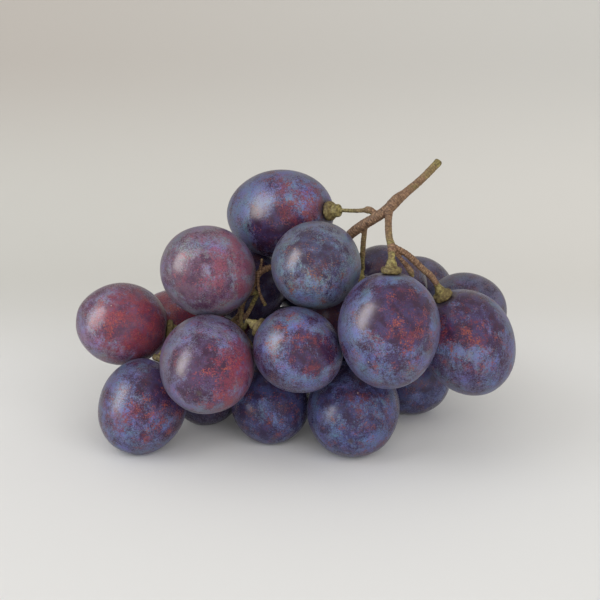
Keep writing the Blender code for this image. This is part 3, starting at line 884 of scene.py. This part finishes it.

# %% [markdown]
# ## The colour of the stem
# Dry wood is tan and brown, and it turns olive green toward the berries, where the stalk is still alive.
# The green value stored on the mesh does the turning, with a cloud texture so that the change is ragged.
# The along value draws dark rings round the twig, and the carving value darkens what lies deep in the
# furrows: partly dirt, and partly painted shade.

# %% Make the bark material
WOOD = ((0.120, 0.062, 0.040, 1), (0.335, 0.212, 0.128, 1))
LEAF = ((0.105, 0.085, 0.032, 1), (0.310, 0.265, 0.100, 1))
RIM_BROWN = (0.110, 0.075, 0.038, 1)
RING_BROWN = (0.060, 0.036, 0.022, 1)
SPECK_BROWN = (0.070, 0.038, 0.022, 1)
FURROW_DIRT_AND_SHADE = (0.045, 0.028, 0.016, 1)
bark = bpy.data.materials.new("stem_bark")
bark.use_nodes = True
tree = bark.node_tree
shader = tree.nodes["Principled BSDF"]
place = scaled(tree, tree.nodes.new("ShaderNodeTexCoord").outputs["Object"], 1.0 / MM)


def stored(title):
    """A value that the mesh holds at each point."""
    node = tree.nodes.new("ShaderNodeAttribute")
    node.attribute_name = title
    return node.outputs["Fac"]


wood_cloud = ease(tree, cloud(tree, place, 1.6, detail=5.0, rough=0.65), 0.36, 0.64)
wood = blend(tree, wood_cloud, *WOOD)
leaf_cloud = ease(tree, cloud(tree, place, 1.5, detail=4.0, rough=0.6), 0.36, 0.64)
leaf = blend(tree, leaf_cloud, *LEAF)
ragged = minus(tree, cloud(tree, place, 0.5, detail=3.0), 0.5)
turning = plus(tree, stored("green"), times(tree, ragged, 0.9))
colour = blend(tree, ease(tree, turning, 0.25, 0.80), wood, leaf)
colour = blend(tree, times(tree, stored("rim"), 0.45), colour, RIM_BROWN)
phase = plus(tree, times(tree, stored("along"), 11.0),
             times(tree, cloud(tree, place, 1.2, detail=2.0), 9.0))
rings = ease(tree, sums(tree, "SINE", phase), 0.25, 0.95)
ring_strength = minus(tree, 0.72, times(tree, stored("green"), 0.45))
rings = times(tree, rings, ring_strength)
colour = blend(tree, rings, colour, RING_BROWN)
speck = use_group(tree, stipple_group, Place=place, Patch_scale=0.8, Grain_scale=3.4, Share=0.22)
colour = blend(tree, times(tree, speck["Mask"], 0.40), colour, SPECK_BROWN)
# Dirt and painted shade: the deepest carved furrows are darkened.
furrow_dirt_and_shade = ease(tree, stored("carving"), -0.005, -0.06)
colour = blend(tree, times(tree, furrow_dirt_and_shade, 0.55), colour, FURROW_DIRT_AND_SHADE)
plug(tree, shader.inputs["Base Color"], colour)
plug(tree, shader.inputs["Roughness"], ease(tree, wood_cloud, 0.0, 1.0, 0.62, 0.80))
bump = tree.nodes.new("ShaderNodeBump")
bump.inputs["Strength"].default_value = 0.5
bump.inputs["Distance"].default_value = 0.08 * MM
plug(tree, bump.inputs["Height"], cloud(tree, place, 5.0, detail=3.0, rough=0.7))
plug(tree, shader.inputs["Normal"], bump.outputs["Normal"])
shader.inputs["Specular IOR Level"].default_value = 0.3
fused.materials.clear()
fused.materials.append(bark)
print("bark material with", len(tree.nodes), "nodes")

# %% [markdown]
# ## The table and the light
# A plain pale surface that sweeps up into a backdrop has no edge to distract from the fruit. The paper is
# nearly white under the bunch, and painted shade makes it greyer and warmer where it rises behind it, most
# of all to the left, as a real roll of paper looks under one window. The colour is mixed from the place on
# the paper, so the picture gets its soft fall-off of light as painted shade, without any extra lights.

# %% Build the stage
HIGH_PAPER_PAINTED_SHADE = ((0.465, 0.442, 0.415, 1), (0.555, 0.560, 0.548, 1))
LOW_PAPER_PAINTED_SHADE = ((0.610, 0.618, 0.598, 1), (0.685, 0.683, 0.665, 1))
NEAR_PAPER = (0.765, 0.780, 0.790, 1)
SWEEP_STEPS = 24
FLOOR_WIDTH = 3.0
FLOOR_FRONT = -0.9
FLOOR_BACK = 0.10
SWEEP_RADIUS = 0.45
WALL_HEIGHT = 1.6
profile = [(FLOOR_FRONT, 0.0), (FLOOR_BACK, 0.0)]
for step in range(1, SWEEP_STEPS + 1):
    angle = math.pi / 2 * step / SWEEP_STEPS
    profile.append((FLOOR_BACK + SWEEP_RADIUS * math.sin(angle), SWEEP_RADIUS * (1 - math.cos(angle))))
profile.append((FLOOR_BACK + SWEEP_RADIUS, WALL_HEIGHT))
shape = bmesh.new()
left = [shape.verts.new((-FLOOR_WIDTH / 2, y, z)) for y, z in profile]
right = [shape.verts.new((FLOOR_WIDTH / 2, y, z)) for y, z in profile]
for index in range(len(profile) - 1):
    shape.faces.new((left[index], right[index], right[index + 1], left[index + 1]))
backdrop_mesh = bpy.data.meshes.new("backdrop")
shape.to_mesh(backdrop_mesh)
shape.free()
backdrop_mesh.shade_smooth()
backdrop = bpy.data.objects.new("backdrop", backdrop_mesh)
bpy.context.scene.collection.objects.link(backdrop)
paper = bpy.data.materials.new("paper")
paper.use_nodes = True
tree = paper.node_tree
shader = tree.nodes["Principled BSDF"]
spot = tree.nodes.new("ShaderNodeSeparateXYZ")
plug(tree, spot.inputs[0], tree.nodes.new("ShaderNodeTexCoord").outputs["Object"])
across = ease(tree, spot.outputs["X"], -0.25, 0.25)
high = blend(tree, across, *HIGH_PAPER_PAINTED_SHADE)
low = blend(tree, across, *LOW_PAPER_PAINTED_SHADE)
# Painted shade: the paper darkens as it rises, and more to the left.
paper_with_painted_shade = blend(tree, ease(tree, spot.outputs["Z"], 0.0, 0.055), low, high)
paper_with_painted_shade = blend(tree, ease(tree, spot.outputs["Y"], 0.14, 0.03), paper_with_painted_shade, NEAR_PAPER)
plug(tree, shader.inputs["Base Color"], paper_with_painted_shade)
shader.inputs["Roughness"].default_value = 0.9
shader.inputs["Specular IOR Level"].default_value = 0.1
backdrop_mesh.materials.append(paper)
print("backdrop", FLOOR_WIDTH, "m wide")

# %% [markdown]
# ## The lights
# The key light is a tall window from the left and a little above. On a real table the room around it is
# bright too, so the shadows stay pale: an even, warm sky does that, and a very wide and low panel in front
# fills the near side of the berries. Reflections don't see the panel, because a second shine on the wax
# would give it away. A gentle window alone would leave only a dull shine, so a narrow strip hangs beside it
# and is seen by reflections only. It costs no extra shadow.

# %% Light the bunch
SKY_COLOUR = (1.0, 0.958, 0.905, 1.0)
SKY_STRENGTH = 0.69
LIT_HEIGHT = 0.04


def area_light(name, direction, distance, size, power, colour):
    """A panel that shines on the middle of the bunch from a direction, in metres and watts."""
    light = bpy.data.lights.new(name, "AREA")
    light.shape = "RECTANGLE"
    light.size, light.size_y = size
    light.energy = power
    light.color = colour
    item = bpy.data.objects.new(name, light)
    away = Vector(direction).normalized()
    item.location = Vector((0.0, 0.0, LIT_HEIGHT)) + away * distance
    item.rotation_mode = "QUATERNION"
    item.rotation_quaternion = (-away).to_track_quat("-Z", "Y")
    bpy.context.scene.collection.objects.link(item)
    return item


area_light("window", seen_direction(-0.78, 0.38, 0.50), 1.2, (0.80, 1.10), 3.8, (0.96, 0.98, 1.0))
bounce = area_light("bounce", (0.26, -0.85, 0.38), 1.7, (2.2, 1.5), 21.0, (1.0, 0.970, 0.935))
bounce.visible_glossy = False
shine = area_light("shine", seen_direction(-0.84, 0.24, 0.48), 1.15, (0.46, 1.15), 17.0, (1.0, 0.94, 0.91))
shine.visible_diffuse = False
world = bpy.data.worlds.new("studio")
bpy.context.scene.world = world
world.use_nodes = True
sky = world.node_tree.nodes["Background"]
sky.inputs["Color"].default_value = SKY_COLOUR
sky.inputs["Strength"].default_value = SKY_STRENGTH
bpy.context.scene.view_settings.view_transform = "Standard"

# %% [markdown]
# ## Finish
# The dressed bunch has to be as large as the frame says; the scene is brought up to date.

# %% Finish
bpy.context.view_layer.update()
